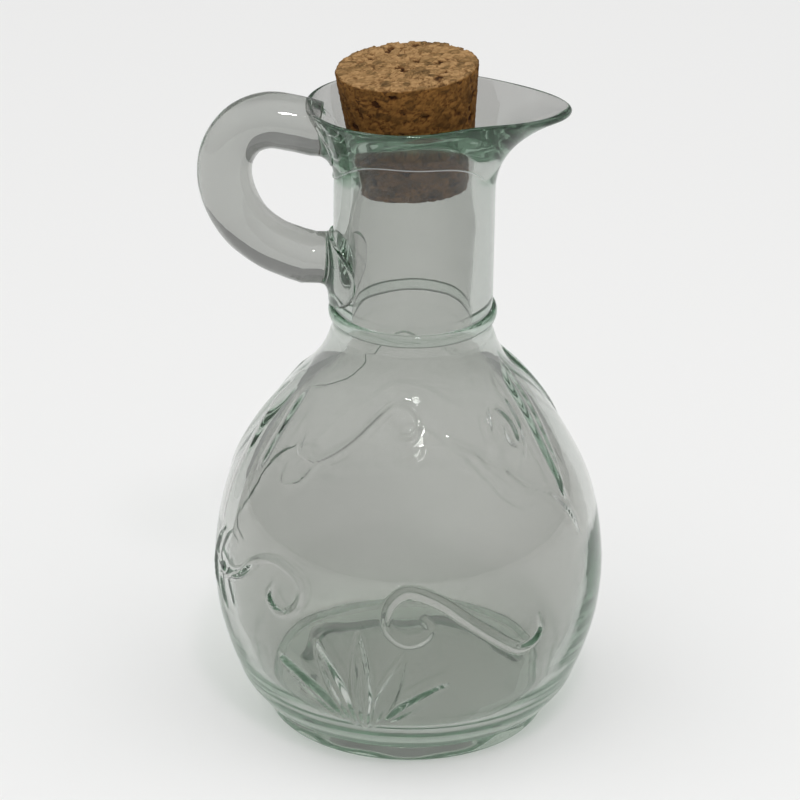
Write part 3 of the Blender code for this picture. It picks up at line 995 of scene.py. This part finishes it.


# Clear glass: the stain colours what passes, and the body's own green grows with the thickness. The
# bottle's stain is darkened as painted shade at its lip and, by how the surface faces the eye, at the
# sides of its neck, and its mould line carries a painted highlight of white diffuse light.
# Rays from the lamps pass as through a tinted pane, so that what is behind is lit. Faces marked as
# joined are fused to another piece, so they let everything through unbent.
def glassMaterial(name, finish):
    made, nodes, links = newMaterial(name)
    shader = nodes["Principled BSDF"]
    shader.inputs["Base Color"].default_value = (*finish["stain"], 1)
    shader.inputs["Roughness"].default_value = glassSurface["roughness"]
    shader.inputs["IOR"].default_value = glassSurface["ior"]
    shader.inputs["Transmission Weight"].default_value = 1
    waves = nodes.new("ShaderNodeGroup")
    waves.node_tree = blownWaves
    waves.inputs["Strength"].default_value = finish["wave"]
    links.new(waves.outputs["Normal"], shader.inputs["Normal"])
    surface = shader.outputs["BSDF"]
    # Painted shade: the stain darkens at the lip, and at the neck's sides as they turn from the eye
    if "paintedShadeColour" in finish:
        facing = nodes.new("ShaderNodeLayerWeight").outputs["Facing"]
        edge, paintedLipShade = pointValue(nodes, "paintedEdgeShade"), pointValue(nodes, "paintedLipShade")
        share = mathNode(nodes, links, "MULTIPLY_ADD", facing, edge, paintedLipShade)
        stain = mixColours(nodes, links, share, finish["stain"], finish["paintedShadeColour"])
        links.new(stain, shader.inputs["Base Color"])
    # Painted highlight: a white diffuse band along the mould line
    if "seamHighlightShare" in finish:
        share = mathNode(nodes, links, "MULTIPLY", pointValue(nodes, "seam"), finish["seamHighlightShare"])
        seamHighlight = nodes.new("ShaderNodeBsdfDiffuse").outputs["BSDF"]
        surface = mixShaders(nodes, links, share, surface, seamHighlight)
    passing = pointValue(nodes, "joined")
    if "joinedPlaces" in finish:
        mask = joinedMask(nodes, links, finish["joinedPlaces"])
        passing = mathNode(nodes, links, "MULTIPLY", passing, mask)
    surface = mixShaders(nodes, links, passing, surface, clearPane(nodes))
    path = nodes.new("ShaderNodeLightPath")
    pane = clearPane(nodes, finish["pane"])
    surface = mixShaders(nodes, links, path.outputs["Is Shadow Ray"], surface, pane)
    volume = nodes.new("ShaderNodeVolumeAbsorption")
    volume.inputs["Color"].default_value = (*finish["body"], 1)
    volume.inputs["Density"].default_value = finish["density"]
    links.new(surface, nodes["Material Output"].inputs["Surface"])
    links.new(volume.outputs["Volume"], nodes["Material Output"].inputs["Volume"])
    return made


bottleGlass = glassMaterial("bottleGlass", bottleFinish)
handleGlass = glassMaterial("handleGlass", handleFinish)
collarGlass = glassMaterial("collarGlass", collarFinish)

# Cork colours: granules from deep to pale to deep brown, then what the cracks and the painted shade of the
# side and bottom multiply by
corkFinish = {
    "granules": (
        (0.0, (0.075, 0.041, 0.014)), (0.3, (0.25, 0.146, 0.057)), (0.6, (0.43, 0.258, 0.113)),
        (0.8, (0.205, 0.111, 0.040)), (1.0, (0.055, 0.027, 0.010)),
    ),
    "crack": (0.32, 0.23, 0.15),
    # Painted shade multiplied over the side and bottom
    "sideShade": (0.50, 0.39, 0.22),
    "roughness": 0.85,
    "specular": 0.15,
}


def corkMaterial(finish):
    made, nodes, links = newMaterial("pressedCork")
    shader = nodes["Principled BSDF"]
    shader.inputs["Roughness"].default_value = finish["roughness"]
    shader.inputs["Specular IOR Level"].default_value = finish["specular"]
    colour = rampNode(nodes, links, pointValue(nodes, "granuleTone"), finish["granules"])
    # Cracks darken the granules, and painted shade darkens the side and bottom
    for name, factor in (("granuleGap", "crack"), ("paintedSideShade", "sideShade")):
        colour = mixColours(nodes, links, pointValue(nodes, name), colour, finish[factor], "MULTIPLY")
    links.new(colour, shader.inputs["Base Color"])
    return made


pressedCork = corkMaterial(corkFinish)
pieces = (
    (bottle, "vessel", "glass_bottle", "bottle_glass", bottleGlass),
    (collar, "vessel", "neck_collar", "collar_glass", collarGlass),
    (handle, "vessel", "handle", "handle_glass", handleGlass),
    (cork, "stopper", "cork_stopper", "pressed_cork", pressedCork),
)
for piece, body, node, slot, finish in pieces:
    piece.data.materials.append(finish)
    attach(piece, body)
    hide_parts(node)
print("materials given")

# Studio: pale floor, pale surround with one darker wall behind, a small lamp above
studio = {
    "floorRadius": 2.5,
    "floorColour": (0.88, 0.88, 0.875),
    "floorSpecular": 0.1,
    "skyStrength": 1.0,
    "skyStops": ((0.0, 3 * (0.38,)), (0.2, 3 * (0.56,)), (0.55, 3 * (1.0,)), (1.0, 3 * (1.2,))),
    "wall": {"toward": (0.0, 0.90, 0.43), "colour": (0.36, 0.36, 0.36), "edge": 0.62, "core": 0.88},
    "lamp": {"place": (0.10, -0.55, 0.95), "target": (0, 0, 0.09), "size": 0.14, "power": 2.2},
    "bounces": 64,
    "clearBounces": 16,
}


def addFloor(settings):
    bpy.ops.mesh.primitive_circle_add(vertices=128, radius=settings["floorRadius"], fill_type="NGON")
    floor = bpy.context.object
    floor.name = "floor"
    made, nodes, links = newMaterial("floorPaper")
    shader = nodes["Principled BSDF"]
    shader.inputs["Base Color"].default_value = (*settings["floorColour"], 1)
    shader.inputs["Roughness"].default_value = 1
    shader.inputs["Specular IOR Level"].default_value = settings["floorSpecular"]
    floor.data.materials.append(made)


# The world is a sky, darker low down and behind the object, where a wall would stand.
def addSurround(settings):
    world = bpy.data.worlds.new("surround")
    bpy.context.scene.world = world
    world.use_nodes = True
    nodes, links = world.node_tree.nodes, world.node_tree.links
    place = nodes.new("ShaderNodeTexCoord")
    parts = nodes.new("ShaderNodeSeparateXYZ")
    links.new(place.outputs["Generated"], parts.inputs["Vector"])
    sky = rampNode(nodes, links, parts.outputs["Z"], settings["skyStops"])
    wall = settings["wall"]
    facing = nodes.new("ShaderNodeVectorMath")
    facing.operation = "DOT_PRODUCT"
    facing.inputs[1].default_value = Vector(wall["toward"]).normalized()
    share = nodes.new("ShaderNodeMapRange")
    share.interpolation_type = "SMOOTHSTEP"
    share.inputs["From Min"].default_value = wall["edge"]
    share.inputs["From Max"].default_value = wall["core"]
    links.new(place.outputs["Generated"], facing.inputs[0])
    links.new(facing.outputs["Value"], share.inputs["Value"])
    surround = mixColours(nodes, links, share.outputs["Result"], sky, wall["colour"])
    links.new(surround, nodes["Background"].inputs["Color"])
    nodes["Background"].inputs["Strength"].default_value = settings["skyStrength"]


def addLamp(lamp):
    data = bpy.data.lights.new("keyLamp", "AREA")
    data.shape = "DISK"
    data.size = lamp["size"]
    data.energy = lamp["power"]
    made = bpy.data.objects.new("keyLamp", data)
    made.location = lamp["place"]
    away = Vector(lamp["place"]) - Vector(lamp["target"])
    made.rotation_euler = away.to_track_quat("Z", "Y").to_euler()
    bpy.context.scene.collection.objects.link(made)


addFloor(studio)
addSurround(studio)
addLamp(studio["lamp"])
scene = bpy.context.scene
scene.view_settings.view_transform = "Standard"
scene.cycles.max_bounces = studio["bounces"]
scene.cycles.transmission_bounces = studio["bounces"]
scene.cycles.glossy_bounces = studio["bounces"]
scene.cycles.transparent_max_bounces = studio["clearBounces"]
print("studio lit")
